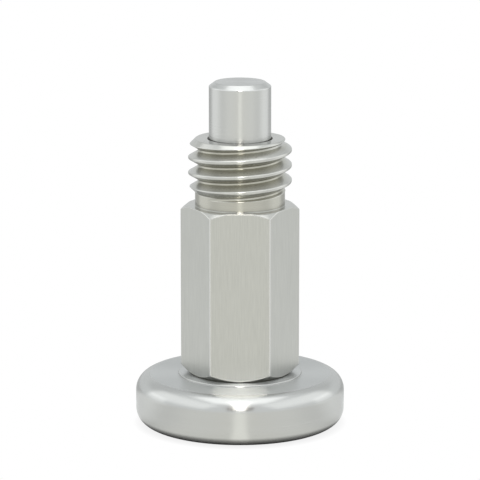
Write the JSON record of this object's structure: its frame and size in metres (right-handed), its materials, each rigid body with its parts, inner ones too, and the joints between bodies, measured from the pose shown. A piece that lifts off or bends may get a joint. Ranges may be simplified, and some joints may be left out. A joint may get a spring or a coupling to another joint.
{
  "type": "spring plunger",
  "caption": "Retractable spring plunger with a straight pin, a threaded nose, a hexagon body and a round pull knob that draws the pin back against a spring.",
  "frame": {"origin": "on the pin's axis, in the plane of the hexagon's shoulder that seats on the plate the nose is screwed into", "axes": "+Z along the pin's axis, out of the threaded nose; a flat of the hexagon faces -Y"},
  "size_m": [0.0203, 0.0202, 0.0337],
  "materials": {
    "body_steel": "fine brushed hexagon flats, turned nose and thread",
    "pin_steel": "finely ground",
    "knob_steel": "polished",
    "bush_steel": "turned",
    "spring_steel": "bright drawn wire"
  },
  "bodies": {
    "housing": {"housing": "body_steel", "end_bush": "bush_steel"},
    "spring": {"spring": "spring_steel"},
    "plunger": {"plunger_pin": "pin_steel", "knob": "knob_steel"}
  },
  "joints": [
    {"name": "pull", "type": "slide", "parent": "housing", "child": "spring", "axis": [0, 0, -1], "range_m": [0, 0.0055], "stiffness_N_per_m": 1530, "springref_m": -0.0044, "deforming": ["spring"]},
    {"name": "spin", "type": "hinge", "parent": "spring", "child": "plunger", "pos_m": [0, 0, 0], "axis": [0, 0, 1], "continuous": true}
  ]
}
